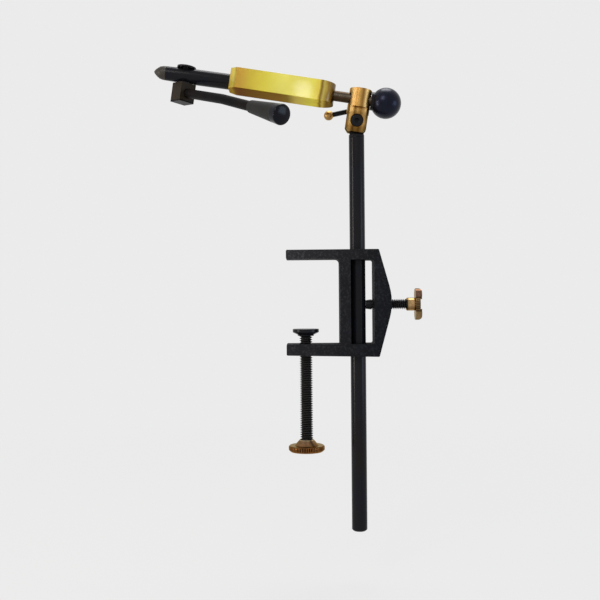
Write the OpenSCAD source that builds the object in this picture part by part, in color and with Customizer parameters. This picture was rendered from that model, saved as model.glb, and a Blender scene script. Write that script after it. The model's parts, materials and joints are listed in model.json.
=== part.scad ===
// Fly tying vise for a table edge. A C-shaped frame is screwed to the table and holds
// a sliding post. A brass head on the post tilts and carries a rotary shaft, and the
// brass body on that shaft carries the jaw tube with its cam lever.
// The origin is on the clamp screw's axis, in the underside of the frame's upper arm.
// +Z is up, the jaws point to -X, and +Y is away from the viewer.

/* [Clamp frame] */
// Thickness of the frame, along Y
frame_t = 19; // [16:0.5:24]
// Reach of the upper arm ahead of the clamp screw
arm_reach = 11.8; // [10:0.1:16]
// Height of the upper arm at its tip
arm_tip_h = 5.6; // [5:0.1:9]
// Height of the upper arm over the spine
arm_root_h = 5.7; // [5:0.1:10]
// Height of the throat between the two arms
throat_h = 51.9; // [46:0.1:62]
// Depth of the throat behind the clamp screw
throat_d = 20.95; // [16:0.05:26]
// Height of the lower arm at its tip
foot_tip_h = 6.7; // [6:0.1:11]
// Height of the lower arm under the spine
foot_root_h = 7.9; // [7:0.1:12]
// Width of the spine between the throat and the window
spine_w = 6.5; // [5:0.1:10]
// Free width of the window beside the post
window_gap = 4.8; // [2.5:0.1:6]
// Thickness of the wall behind the window at its ends
back_wall = 2.8; // [2:0.1:8]
// How far the wall swells out around the lock screw
back_swell = 9; // [6:0.1:12]
// Height of the swell's crown above the lock screw
swell_lift = 1.6; // [0:0.1:4]
// Radius of the swell's crown
swell_r = 37; // [30:1:50]
// Radius inside the throat, under the upper arm
throat_fillet = 2.3; // [1:0.1:4]
// Radius in the window's corners
window_fillet = 1.2; // [0.5:0.1:1.8]
// Radius on the tips of the arms
arm_tip_r = 0.8; // [0.3:0.1:1.5]

/* [Clamp screw and pad] */
// Radius of the clamp screw over its thread
screw_r = 3.97; // [3:0.01:5]
// Pitch of the clamp screw's thread
screw_pitch = 1.411; // [1:0.001:2]
// Height of the pad's foot above the lower arm, as stored
pad_lift = 4.9; // [1:0.1:12]
// Radius of the pad
pad_r = 8.1; // [6.5:0.05:10]
// Height of the pad's rim
pad_rim_h = 2.1; // [1.5:0.1:3]
// Height of the whole pad
pad_h = 4.3; // [3.8:0.1:6]
// Radius of the pad's lower end
pad_foot_r = 5; // [4.8:0.1:6.4]
// Radius of the swivel nose in the pad
nose_r = 2.5; // [2.2:0.1:2.8]
// Distance from the pad's foot down to the knob's hub
screw_free_l = 64; // [56:0.5:80]

/* [Clamp knob] */
// Radius of the knurled rim
knob_r = 11.1; // [9:0.1:14]
// Height of the knurled rim
knob_rim_h = 3.7; // [3:0.1:6]
// Radius of the hub's cone where it meets the rim
knob_hub_r = 7.4; // [6:0.1:8.5]
// Radius of the hub's top
knob_top_r = 4.4; // [4.4:0.1:5.5]
// Height of the hub's cone
knob_hub_h = 3.5; // [2.5:0.1:5]
// Spacing of the ridges on the rim
knurl_pitch = 1.1; // [0.9:0.05:2]
// Depth of the ridges on the rim
knurl_depth = 0.45; // [0.2:0.05:0.5]

/* [Post lock] */
// Radius of the lock screw over its thread
lock_r = 3.175; // [2.5:0.005:4]
// Pitch of the lock screw's thread
lock_pitch = 1.27; // [0.8:0.01:1.5]
// Height of the lock screw below the upper arm
lock_drop = 28; // [20:0.5:34]
// Length of bare thread between the frame and the knob's hub
lock_free_l = 9.6; // [5:0.1:14]
// Radius of the lock knob's hub
lock_hub_r = 4; // [3.6:0.1:5]
// Length of the lock knob's hub
lock_hub_l = 5.7; // [4:0.1:9]
// Thickness of the lock knob's wings
wing_t = 3.8; // [3.5:0.1:6]
// Half span of the wings
wing_reach = 9.75; // [8:0.05:13]
// Radius of a wing's round end
wing_r = 4.5; // [3.5:0.1:5]
// Length of the lock screw's tip
tip_l = 3.5; // [1.5:0.1:4]
// Radius of the tip where it bears on the post
tip_nose_r = 2.7; // [2:0.1:3]

/* [Post] */
// Radius of the post
post_r = 4.7625; // [4:0.0025:6]
// Length of the post below the upper arm's underside
post_below = 167.3; // [120:0.1:200]
// Height of the tilt pivot above the upper arm's underside
pivot_h = 84.8; // [70:0.1:110]
// Chamfer on the post's lower end
post_chamfer = 0.9; // [0.3:0.1:1.5]
// Tilt of the head as stored, jaws up
head_tilt = 8.9; // [0:0.1:20]
// Gap between the head's lower corners and the tang's foot as the head tilts
tang_gap = 0.2; // [0.1:0.05:1]

/* [Head] */
// Radius of the head's round bar
head_r = 6.9; // [6.4:0.1:8]
// Height of the rotary axis above the tilt pivot
rotor_h = 13.85; // [13:0.05:16]
// Height of the head above the rotary axis
head_top_h = 5.8; // [5:0.1:8]
// Depth of the head below the tilt pivot
head_foot_h = 7; // [5:0.1:8]
// Height of the full round part, from the top down to the flats
head_round_h = 11.4; // [9:0.1:13]
// Half distance across the flats
flat_half = 4.7; // [4.3:0.1:5.2]
// Half width of the slot for the tang
slot_half = 2.4; // [2:0.1:2.8]
// Radius of the pivot bolt's shank
bolt_r = 2; // [1.5:0.1:2.4]
// Radius of the pivot bolt's head
bolt_head_r = 3.9; // [3:0.1:4.1]
// Outer radius of the shaft's bushings
bush_r = 4.1; // [3.8:0.1:4.6]

/* [Rotary tension] */
// Drop from the rotary axis to the tension screw's axis
tension_drop = 3.3; // [2:0.05:3.6]
// Distance of the tension lever behind the head's axis
tension_y = 12.7; // [12.2:0.1:15]
// Radius of the tension screw's hub
tension_hub_r = 3.1; // [2.6:0.1:3.4]
// Radius of the tension lever
tension_rod_r = 1.55; // [1.2:0.05:1.8]
// Distance from the tension screw to the ball's centre
tension_arm = 18.4; // [15:0.1:24]
// Radius of the tension lever's ball
tension_ball_r = 3; // [2.4:0.1:3]
// Angle of the tension lever below the rotary axis
tension_angle = 20.6; // [0:0.1:40]

/* [Rotary shaft] */
// Radius of the rotary shaft
shaft_r = 3.175; // [2.8:0.005:3.4]
// Bare length of shaft between the body and the head's axis
shaft_front = 15.7; // [12:0.1:22]
// Radius of the thrust collar
collar_r = 5.55; // [5:0.05:6.5]
// Length of the thrust collar
collar_l = 1.8; // [1.8:0.1:4]
// Radius of the ball knob
ball_r = 9.45; // [8:0.05:12]
// Depth of the ball knob from its flat to its centre
ball_seat = 7.4; // [6.5:0.1:8.5]

/* [Jaw body] */
// Length of the brass body
body_l = 64.9; // [55:0.1:80]
// Width of the brass body, along Y
body_w = 19.05; // [16:0.05:24]
// Height of the brass body
body_h = 12.7; // [12:0.1:16]
// Chamfer on the front corners
body_chamfer = 4; // [2:0.1:5]

/* [Jaw tube and jaws] */
// Radius of the jaw tube
tube_r = 4.7625; // [4.6:0.0025:5.2]
// Length of tube ahead of the body
tube_l = 39.6; // [36:0.1:48]
// Length of tube inside the body
tube_socket = 14; // [10:0.5:20]
// Drop of the tube's axis at the body's front face
tube_drop = 1; // [0.6:0.05:1.15]
// Nose-down angle of the tube against the body
tube_dip = 0.7; // [0:0.1:3]
// Radius of the tube's mouth
mouth_r = 4.3; // [4.2:0.05:4.5]
// Length of the tube's taper behind the mouth
taper_l = 15; // [3:0.1:20]
// Radius of the bore in the tube
tube_bore_r = 3.2; // [3:0.05:3.4]
// Length of the jaws ahead of the mouth
nose_l = 7.6; // [6:0.1:10]
// Radius of the jaws' blunt point
point_r = 0.45; // [0.3:0.05:0.8]

/* [Cam and lever] */
// Distance from the tube's mouth back to the cam spindle
cam_back = 11.8; // [11.6:0.1:13]
// Radius of the spindle's head
cam_head_r = 5.8; // [5:0.1:6.5]
// Height of the spindle's head
cam_head_h = 1.2; // [0.8:0.1:2]
// Throw of the eccentric
cam_throw = 0.52; // [0.4:0.01:0.6]
// Side of the square cam block
block_w = 10.3; // [8.5:0.1:12]
// Height of the cam block
block_h = 11.7; // [9:0.05:14]
// Swing of the closed lever, out from the body
lever_swing = 49; // [30:1:60]
// Droop of the lever below the swing plane
lever_droop = 10.3; // [5:0.1:18]
// Further droop of the lever past its bend
lever_bend = 3; // [1:0.1:8]
// Distance from the spindle's axis to the bend
lever_bend_x = 44; // [30:0.5:55]
// Radius of the lever rod
lever_r = 2.85; // [2.4:0.05:3.2]
// Length from the spindle's axis to the end of the lever, along the rod
lever_l = 104; // [90:1:120]
// Length of the lever's knob
grip_l = 30; // [22:0.5:40]
// Radius of the lever knob's end
grip_r = 5.7; // [5:0.1:8]
// Radius of the lever knob's neck
grip_neck_r = 3.6; // [3.5:0.1:4.5]

/* [Hidden] */
// Clearance of running fits, and of pieces that are fastened together
run_fit = 0.04;
seat_fit = 0.02;
// Overrun of every cut
over = 0.5;
// Axial play between pieces that turn on each other
play = 0.08;
// Thread form: flat crest and depth as shares of the pitch
crest_share = 0.2;
thread_depth_share = 0.5;
// A set screw's socket: its radius and depth as shares of the screw's
socket_share = 0.5;
// Points on a fillet's arc
arc_steps = 6;
$fn = 64;

// Sizes of the frame that follow from the sizes above
post_x = throat_d + spine_w + run_fit + post_r;
window_x0 = throat_d + spine_w;
window_x1 = post_x + post_r + window_gap;
window_sill_share = 0.1;
window_top = -arm_root_h * window_sill_share;
frame_x1 = window_x1 + back_wall;
frame_z0 = -throat_h - foot_root_h;
// The wall's two slopes would meet at the crown, which the swell's radius rounds off
crown_z = swell_lift - lock_drop;
crown_angle = (atan(back_swell / (arm_root_h - crown_z))
    + atan(back_swell / (crown_z - frame_z0))) / 2;
crown_cut = swell_r * (1 / cos(crown_angle) - 1);
lock_x1 = frame_x1 + back_swell - crown_cut;

// Clamp screw, down its axis
jaw_opening = throat_h - pad_lift - pad_h;
pad_foot_z = -jaw_opening - pad_h;
nose_share = 0.7;
nose_l0 = pad_h * nose_share;
nose_ring_h = 0.7;
nose_ring_wire = 0.45;
pad_edge = 0.3;
pad_foot_edge = 0.7;
screw_top_z = pad_foot_z - play;
hub_top_z = pad_foot_z - screw_free_l;
rim_top_z = hub_top_z - knob_hub_h;
knob_foot_z = rim_top_z - knob_rim_h;
knob_foot_chamfer = 1.1;
knob_edge = 0.6;
knob_grub_l = 2.6;
screw_end_z = knob_foot_z + knob_grub_l + play;

// Lock screw, along its axis from the post
tip_x0 = post_x + post_r + seat_fit;
tip_x1 = tip_x0 + tip_l;
tip_spigot_share = 0.5;
tip_spigot_r = lock_r * tip_spigot_share;
tip_spigot_l = tip_l;
lock_hub_x0 = lock_x1 + lock_free_l;
wing_x0 = lock_hub_x0 + lock_hub_l;
wing_x1 = wing_x0 + wing_t;
lock_blind_share = 0.4;
lock_end_x = wing_x1 - wing_t * lock_blind_share;
wing_waist = 5;
wing_ridge = 1.42;
wing_groove_r = 0.5;
wing_groove_dip_share = 0.7;
wing_corner_r = 2.2;
wing_edge_r = 0.5;
wing_dip = 0.9;
wing_dip_half = 3;
lock_hub_edge = 0.7;

// Post and tang, whose foot stays clear of the head's chamfered corners
tang_foot_h = 1.6;
head_chamfer = 2.6;
head_corner_x = head_r - head_chamfer;
head_corner_z = head_foot_h - head_chamfer;
head_sweep = max(sqrt(head_corner_x * head_corner_x + head_foot_h * head_foot_h),
    sqrt(head_r * head_r + head_corner_z * head_corner_z));
tang_drop = head_sweep + tang_gap;
post_top_z = pivot_h - tang_drop - tang_foot_h;
washer_t = 0.4;
washer_r = 4.2;
tang_half = slot_half - washer_t - play;
// The tang's flats leave it this wide, inside the post's round
tang_r = sqrt(post_r * post_r - tang_half * tang_half) - seat_fit;
spigot_share = 0.52;
spigot_r = post_r * spigot_share;
spigot_l = 8;

// Head, from its pivot
head_top = rotor_h + head_top_h;
flat_top = head_top - head_round_h;
head_slot_room = 0.6;
slot_top = tang_r + head_slot_room;
bush_end = sqrt(head_r * head_r - bush_r * bush_r) - seat_fit;
plug_r = 1.7;
bush_gap = 0.5;
bush_start = plug_r + bush_gap;
groove_side = 0.25;
groove_half = plug_r + groove_side;
groove_d = 0.35;
cheek_t = flat_half - slot_half;
pocket_share = 0.6;
bolt_pocket = cheek_t * pocket_share;
bolt_edge = 0.5;
bolt_key_r = 1.5;
tension_h = rotor_h - tension_drop;
tension_r = 2.2;
plug_end_y = 3.9;
hub_room = 0.5;
hub_y0 = head_r + hub_room;
hub_wall = 0.9;
hub_y1 = tension_y + tension_rod_r + hub_wall;
ball_overlap = 0.3;

// Rotor, along the rotary axis from the head's axis
collar_gap = 0.15;
collar_x0 = head_r + collar_gap;
collar_x1 = collar_x0 + collar_l;
collar_mid = (collar_x0 + collar_x1) / 2;
collar_grub_share = 0.34;
collar_grub_r = collar_l * collar_grub_share;
ball_x = collar_x1 + ball_seat;
insert_r = 4.2;
insert_l = 9;
shaft_end_share = 0.9;
shaft_x1 = collar_x1 + insert_l * shaft_end_share;
body_rear = -shaft_front;
body_front = -shaft_front - body_l;
shaft_socket = 12;
grub_r = 1.5;
grub_sink = 0.3;
grub_place_share = 0.6;
shaft_grub_x = body_rear - shaft_socket * grub_place_share;
tube_grub_x = body_front + tube_socket * grub_place_share;
tube_top_z = tube_r - tube_drop + play + tube_socket * sin(tube_dip);

// Jaw tube: x runs back from the body's front face, so the jaws lie at negative x
spot_h = 4.4;
cam_x = cam_back - tube_l;
cone_slope = 0.35;
mouth_wall = 0.22;
seat_r = mouth_r - mouth_wall;
cone_l = (seat_r - tube_bore_r) / cone_slope;
tube_bore_l = 24;
cam_core_r = 1.7;
cam_journal_wall = 0.18;
cam_top_r = cam_core_r + cam_throw + cam_journal_wall;
// The eccentric stands at this angle when the lever is closed, and swings as far past
// the tube's square as it stood before it, so its stroke is nearly even
cam_rest_angle = -40;
bar_shift = cam_throw * cos(cam_rest_angle);
bar_r = tube_bore_r - run_fit;
// The eccentric ends where its widest turn still clears the round of the tube's bore
cam_turn_r = cam_core_r + cam_throw;
cam_foot = play - sqrt(tube_bore_r * tube_bore_r - cam_turn_r * cam_turn_r);
pin_r = 0.8;
pin_half = 2.8;
pin_ahead = 5.4;
pin_x = cam_x - pin_ahead;
lug_r = 2.5;
lug_half = 1.5;
fork_half = lug_half + run_fit;
fork_ahead = 2.2;
fork_front = pin_x - fork_ahead;
web_x = pin_x + lug_r + play;
bar_tail = 3.4;
bar_rear = cam_x + cam_top_r + bar_tail;
shank_gap = 0.5;
shank_x = fork_front - shank_gap;
shank_r = 2.75;
jaw_slack = 0.06;
seam = 0.12;
nose_x = -tube_l - seam;
// The nose's outline: shares of its length and of its radius at the seam
nose_length_shares = [0, 0.27, 0.52, 0.73, 0.89, 1];
nose_radius_shares = [1, 0.965, 0.84, 0.56, 0.28, 0];

// Lever, from the spindle's axis
spacer_h = 0.6;
spacer_r = 4.5;
block_top = -spot_h - spacer_h - play;
lever_place_share = 0.46;
lever_h = block_top - block_h * lever_place_share;
core_share = 0.72;
core_end = block_top - block_h * core_share;
lever_wall = 0.6;
lever_start = cam_core_r + lever_wall;
// Past the bend, lengths count from it
grip_x1 = lever_l - lever_bend_x;
grip_x0 = grip_x1 - grip_l;
grip_socket = 16;
grip_dome = 0.9;
// The knob's domed end: shares of its radius, and of the dome's height, from the rim in
grip_end_shares = [[1, -1], [0.955, 0], [0.6, 0.7], [0, 1]];

// Points of an arc that rounds the corner b between a and c
function unit(v) = v / norm(v);
function turn_of(v) = atan2(v[1], v[0]);
function corner(a, b, c, r) =
    let (u = unit(a - b), v = unit(c - b), half = acos(u * v) / 2,
        m = b + unit(u + v) * r / sin(half),
        a0 = turn_of(b + u * r / tan(half) - m),
        a1 = turn_of(b + v * r / tan(half) - m),
        sweep = (a1 - a0 + 540) % 360 - 180)
    [for (i = [0:arc_steps]) m + r * [cos(a0 + sweep * i / arc_steps),
        sin(a0 + sweep * i / arc_steps)]];

// Ring-grooved outline of a thread of radius r between z0 and z1, for rotate_extrude
function thread_outline(r, pitch, z0, z1) =
    let (n = floor((z1 - z0) / pitch), root = r - pitch * thread_depth_share,
        crest = pitch * crest_share)
    concat([[0, z0], [root, z0]],
        [for (i = [0:n - 1], k = [0:2]) let (z = z0 + i * pitch)
            k == 0 ? [root, z + crest / 2]
            : k == 1 ? [r, z + pitch / 2 - crest / 2]
            : [r, z + pitch / 2 + crest / 2]],
        [[root, z0 + n * pitch], [root, z1], [0, z1]]);

// Frames of the moving assemblies
module in_head() {
    translate([post_x, 0, pivot_h]) rotate([0, head_tilt, 0]) children();
}
module in_rotor() {
    in_head() translate([0, 0, rotor_h]) children();
}
module in_tube() {
    in_rotor() translate([body_front, 0, -tube_drop]) rotate([0, -tube_dip, 0]) children();
}
module in_cam() {
    in_tube() translate([cam_x, 0, 0]) children();
}
module in_lever() {
    in_cam() translate([0, 0, lever_h]) rotate([0, 0, -lever_swing])
        rotate([0, lever_droop, 0]) children();
}
module in_lever_end() {
    in_lever() translate([lever_bend_x, 0, 0]) rotate([0, lever_bend, 0]) children();
}
module in_tension() {
    in_head() translate([0, tension_y, tension_h])
        rotate([0, 180 - tension_angle, 0]) children();
}
// A rod along x from x0 to x1, one along y from y0 to y1, and one along z
module rod_x(r, x0, x1) {
    translate([x0, 0, 0]) rotate([0, 90, 0]) cylinder(r = r, h = x1 - x0);
}
module rod_y(r, y0, y1) {
    translate([0, y0, 0]) rotate([-90, 0, 0]) cylinder(r = r, h = y1 - y0);
}
module rod_z(r, z0, z1) {
    translate([0, 0, z0]) cylinder(r = r, h = z1 - z0);
}
// A bar along y of the outline in x and z
module slab_y(y0, y1) {
    translate([0, y1, 0]) rotate([90, 0, 0]) linear_extrude(y1 - y0) children();
}
// A solid of revolution about x, of the outline [radius, x]
module turned_x(points) {
    rotate([0, 90, 0]) rotate_extrude() polygon(points);
}
// A headless set screw along z, with its hexagon socket in its top
module grub(r, z0, z1) {
    socket_r = r * socket_share;
    socket_d = (z1 - z0) * socket_share;
    difference() {
        rod_z(r, z0, z1);
        translate([0, 0, z1 - socket_d]) cylinder(r = socket_r, h = socket_d + over, $fn = 6);
    }
}

module frame_outline() {
    tip = [-arm_reach, 0];
    tip_top = [-arm_reach, arm_tip_h];
    root_top = [throat_d, arm_root_h];
    back_top = [frame_x1, arm_root_h];
    crown = [frame_x1 + back_swell, crown_z];
    back_foot = [frame_x1, frame_z0];
    foot_low = [-arm_reach, -throat_h - foot_tip_h];
    foot_tip = [-arm_reach, -throat_h];
    foot_root = [throat_d, -throat_h];
    arm_root = [throat_d, 0];
    polygon(concat(
        corner(arm_root, tip, tip_top, arm_tip_r),
        corner(tip, tip_top, root_top, arm_tip_r),
        [root_top],
        corner(root_top, back_top, crown, arm_tip_r),
        corner(back_top, crown, back_foot, swell_r),
        corner(crown, back_foot, foot_low, arm_tip_r),
        corner(back_foot, foot_low, foot_tip, arm_tip_r),
        corner(foot_low, foot_tip, foot_root, arm_tip_r),
        [foot_root],
        corner(foot_root, arm_root, tip, throat_fillet)));
}
module window_outline() {
    p = [[window_x0, window_top], [window_x1, window_top],
        [window_x1, -throat_h], [window_x0, -throat_h]];
    polygon(concat([p[0]], corner(p[0], p[1], p[2], window_fillet),
        corner(p[1], p[2], p[3], window_fillet), [p[3]]));
}
module clamp_frame() {
    color("#2b2d2f") difference() {
        slab_y(-frame_t / 2, frame_t / 2) frame_outline();
        slab_y(-frame_t / 2 - over, frame_t / 2 + over) window_outline();
        rod_z(screw_r + run_fit, frame_z0 - over, -throat_h + over);
        translate([post_x, 0, 0]) rod_z(post_r + run_fit, window_top - over, arm_root_h + over);
        translate([post_x, 0, 0]) rod_z(post_r + run_fit, frame_z0 - over, -throat_h + over);
        translate([0, 0, -lock_drop])
            rod_x(lock_r + run_fit, window_x1 - over, lock_x1 + over);
    }
}

module pad_ring_cut(r0, r1, h) {
    translate([0, 0, pad_foot_z + nose_l0 / 2 - h / 2]) difference() {
        cylinder(r = r1, h = h);
        translate([0, 0, -over]) cylinder(r = r0, h = h + over * 2);
    }
}
module clamp_pad() {
    color("#26282a") difference() {
        translate([0, 0, pad_foot_z]) rotate_extrude() polygon([[0, 0], [pad_foot_r, 0],
            [pad_foot_r, pad_foot_edge], [pad_r, pad_h - pad_rim_h],
            [pad_r, pad_h - pad_edge], [pad_r - pad_edge, pad_h], [0, pad_h]]);
        rod_z(nose_r + run_fit, pad_foot_z - over, pad_foot_z + nose_l0 + play);
        pad_ring_cut(nose_r, nose_r + nose_ring_wire + seat_fit, nose_ring_h);
    }
}
module pad_ring() {
    color("#8f9294") pad_ring_cut(nose_r - nose_ring_wire + play, nose_r + nose_ring_wire,
        nose_ring_h - play);
}
module clamp_screw() {
    color("#303234") difference() {
        union() {
            rotate_extrude() polygon(thread_outline(screw_r, screw_pitch, screw_end_z,
                screw_top_z));
            rod_z(nose_r, screw_top_z - screw_pitch, pad_foot_z + nose_l0);
        }
        pad_ring_cut(nose_r - nose_ring_wire, nose_r + over, nose_ring_h);
    }
}
module knurled_rim(r, depth, pitch, h) {
    n = round(2 * PI * r / pitch);
    linear_extrude(h) polygon([for (i = [0:n - 1], k = [0:2])
        let (a = (i + k / 3) * 360 / n, q = k < 2 ? r : r - depth) [q * cos(a), q * sin(a)]]);
}
module clamp_knob() {
    color("#a37f3c") difference() {
        union() {
            translate([0, 0, rim_top_z - knob_edge]) rotate_extrude() polygon([[0, 0],
                [knob_hub_r, 0], [knob_hub_r, knob_edge],
                [knob_top_r, knob_edge + knob_hub_h], [0, knob_edge + knob_hub_h]]);
            intersection() {
                translate([0, 0, knob_foot_z])
                    knurled_rim(knob_r, knurl_depth, knurl_pitch, knob_rim_h);
                translate([0, 0, knob_foot_z]) rotate_extrude() polygon([[0, 0],
                    [knob_r - knob_foot_chamfer, 0], [knob_r, knob_foot_chamfer],
                    [knob_r, knob_rim_h - knob_edge], [knob_r - knob_edge, knob_rim_h],
                    [0, knob_rim_h]]);
            }
        }
        rod_z(screw_r + seat_fit, knob_foot_z - over, hub_top_z + over);
    }
}
module knob_grub_screw() {
    color("#303234") mirror([0, 0, 1]) grub(screw_r, -knob_foot_z - knob_grub_l, -knob_foot_z);
}

module in_lock() {
    translate([0, 0, -lock_drop]) children();
}
module lock_tip() {
    color("#26282a") in_lock() turned_x([[0, tip_x0], [tip_nose_r, tip_x0], [lock_r, tip_x1],
        [tip_spigot_r, tip_x1], [tip_spigot_r, tip_x1 + tip_spigot_l],
        [0, tip_x1 + tip_spigot_l]]);
}
module lock_stud() {
    color("#26282a") in_lock() difference() {
        rotate([0, 90, 0]) rotate_extrude()
            polygon(thread_outline(lock_r, lock_pitch, tip_x1 + play, lock_end_x - play));
        rod_x(tip_spigot_r + run_fit, tip_x1 - over, tip_x1 + tip_spigot_l + play);
    }
}
module wing_outline() {
    n = floor(wing_waist / wing_ridge);
    difference() {
        union() {
            for (s = [-1, 1]) translate([s * (wing_reach - wing_r), 0]) circle(r = wing_r);
            circle(r = wing_waist);
        }
        for (s = [-1, 1], i = [-n:n])
            let (z = i * wing_ridge, dip = z * wing_groove_dip_share)
                translate([z, s * sqrt(wing_waist * wing_waist - dip * dip)])
                    circle(r = wing_groove_r);
    }
}
// The wings seen from the front, with their outer corners rounded
module wing_profile() {
    p = [[wing_x0, -wing_reach], [wing_x0, wing_reach], [wing_x1, wing_reach], [wing_x1, -wing_reach]];
    polygon(concat(corner(p[3], p[0], p[1], wing_edge_r), corner(p[0], p[1], p[2], wing_edge_r),
        corner(p[1], p[2], p[3], wing_corner_r), corner(p[2], p[3], p[0], wing_corner_r)));
}
module lock_knob() {
    color("#9c7a40") in_lock() difference() {
        union() {
            turned_x([[0, lock_hub_x0], [lock_hub_r - lock_hub_edge, lock_hub_x0],
                [lock_hub_r, lock_hub_x0 + lock_hub_edge], [lock_hub_r, wing_x0 + over],
                [0, wing_x0 + over]]);
            intersection() {
                translate([wing_x0, 0, 0]) rotate([0, 90, 0]) linear_extrude(wing_t) wing_outline();
                slab_y(-wing_waist - over, wing_waist + over) wing_profile();
            }
        }
        translate([wing_x1 - wing_dip, -wing_waist - over, -wing_dip_half])
            cube([wing_dip + over, wing_waist * 2 + over * 2, wing_dip_half * 2]);
        rod_x(lock_r + seat_fit, lock_hub_x0 - over, lock_end_x);
    }
}

module post() {
    color("#26282b") translate([post_x, 0, 0]) difference() {
        rotate_extrude() polygon([[0, -post_below], [post_r - post_chamfer, -post_below],
            [post_r, -post_below + post_chamfer], [post_r, post_top_z], [0, post_top_z]]);
        rod_z(spigot_r + run_fit, post_top_z - spigot_l - play, post_top_z + over);
    }
}
module post_tang() {
    foot = -tang_drop;
    color("#26282b") translate([post_x, 0, pivot_h]) difference() {
        union() {
            rod_z(spigot_r, foot - tang_foot_h - spigot_l, foot - tang_foot_h + over);
            rod_z(post_r, foot - tang_foot_h + play, foot);
            slab_y(-tang_half, tang_half) {
                circle(r = tang_r);
                translate([-tang_r, foot - over]) square([tang_r * 2, over - foot]);
            }
        }
        rod_y(bolt_r + run_fit, -tang_half - over, tang_half + over);
    }
}

module head_block() {
    w = head_r * 2 + over * 2;
    color("#b98a45") in_head() difference() {
        rod_z(head_r, -head_foot_h, head_top);
        for (s = [-1, 1]) translate([-w / 2, s > 0 ? flat_half : -flat_half - w, -head_foot_h - over])
            cube([w, w, flat_top + head_foot_h + over]);
        translate([-w / 2, -slot_half, -head_foot_h - over])
            cube([w, slot_half * 2, slot_top + head_foot_h + over]);
        for (s = [-1, 1]) translate([s * head_r, -w / 2, -head_foot_h]) rotate([0, 45, 0])
            translate([-head_chamfer / sqrt(2), 0, -head_chamfer / sqrt(2)])
                cube([head_chamfer * sqrt(2), w, head_chamfer * sqrt(2)]);
        rod_y(bolt_r + run_fit, -head_r, head_r);
        rod_y(bolt_head_r + play * 2, -head_r, -flat_half + bolt_pocket);
        translate([0, 0, rotor_h]) rod_x(bush_r + seat_fit, -head_r - over, head_r + over);
        translate([0, 0, tension_h]) rod_y(tension_r + seat_fit, 0, head_r + over);
    }
}
module bushing(x0, x1) {
    difference() {
        rod_x(bush_r, x0, x1);
        rod_x(shaft_r + run_fit, x0 - over, x1 + over);
        translate([0, 0, -tension_drop]) rod_y(tension_r + seat_fit * 2, 0, head_r);
    }
}
module front_bushing() {
    color("#8d6b35") in_rotor() bushing(-bush_end, -bush_start);
}
module rear_bushing() {
    color("#8d6b35") in_rotor() bushing(bush_start, bush_end);
}
module pivot_bolt() {
    face = -flat_half + bolt_pocket;
    color("#1c1e24") in_head() difference() {
        union() {
            rod_y(bolt_r, face - over, flat_half);
            translate([0, face - bolt_pocket - play, 0]) rotate([-90, 0, 0]) rotate_extrude()
                polygon([[0, 0], [bolt_head_r - bolt_edge, 0], [bolt_head_r, bolt_edge],
                    [bolt_head_r, bolt_pocket], [0, bolt_pocket]]);
        }
        translate([0, face - bolt_pocket - over, 0]) rotate([-90, 0, 0])
            cylinder(r = bolt_key_r, h = bolt_pocket + over, $fn = 6);
    }
}
module tilt_washers() {
    color("#d9d6cc") in_head() for (s = [-1, 1]) {
        y0 = s > 0 ? tang_half + play / 2 : -slot_half + play / 2;
        difference() {
            rod_y(washer_r, y0, y0 + washer_t);
            rod_y(bolt_r + run_fit, y0 - over, y0 + washer_t + over);
        }
    }
}
module tension_plug() {
    color("#e4e1d6") in_head() difference() {
        translate([0, 0, tension_h]) rod_y(plug_r, 0, plug_end_y);
        translate([0, 0, rotor_h]) rod_x(shaft_r - groove_d + run_fit, -head_r, head_r);
    }
}
module tension_screw() {
    color("#24262a") in_head() translate([0, 0, tension_h]) difference() {
        union() {
            rod_y(tension_r, plug_end_y + play, hub_y0 + over);
            rod_y(tension_hub_r, hub_y0, hub_y1);
        }
        translate([0, tension_y, 0]) rotate([0, 180 - tension_angle, 0])
            rod_x(tension_rod_r + seat_fit, -tension_hub_r - over, tension_hub_r + over);
    }
}
module tension_lever() {
    color("#1f2125") in_tension()
        rod_x(tension_rod_r, -tension_hub_r, tension_arm - ball_overlap);
}
module tension_ball() {
    color("#a88145") in_tension() difference() {
        translate([tension_arm, 0, 0]) sphere(r = tension_ball_r);
        rod_x(tension_rod_r + seat_fit, 0, tension_arm);
    }
}

module rotary_shaft() {
    color("#7d7b76") in_rotor() difference() {
        rod_x(shaft_r, body_rear - shaft_socket, shaft_x1);
        difference() {
            rod_x(shaft_r + over, -groove_half, groove_half);
            rod_x(shaft_r - groove_d, -groove_half - over, groove_half + over);
        }
    }
}
module collar_ring(r0, r1) {
    difference() {
        rod_x(r1, collar_x0, collar_x1);
        rod_x(r0, collar_x0 - over, collar_x1 + over);
    }
}
module thrust_collar() {
    color("#1d1f22") in_rotor() difference() {
        collar_ring(shaft_r + seat_fit, collar_r);
        translate([collar_mid, 0, 0]) rod_z(collar_grub_r + seat_fit, 0, collar_r + over);
    }
}
module collar_set_screw() {
    color("#3a3c40") in_rotor() translate([collar_mid, 0, 0])
        grub(collar_grub_r, shaft_r + seat_fit, collar_r - grub_sink);
}
module ball_knob() {
    x0 = collar_x1 + play;
    color("#15171b") in_rotor() rotate([0, 90, 0]) rotate_extrude() difference() {
        intersection() {
            translate([0, ball_x]) circle(r = ball_r);
            translate([0, x0]) square([ball_r, ball_r * 2]);
        }
        translate([0, x0]) square([insert_r + seat_fit, insert_l]);
    }
}
module ball_insert() {
    color("#b08a4a") in_rotor() difference() {
        rod_x(insert_r, collar_x1 + play, collar_x1 + play + insert_l - seat_fit);
        rod_x(shaft_r + seat_fit, collar_x1, shaft_x1 + play);
    }
}

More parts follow.
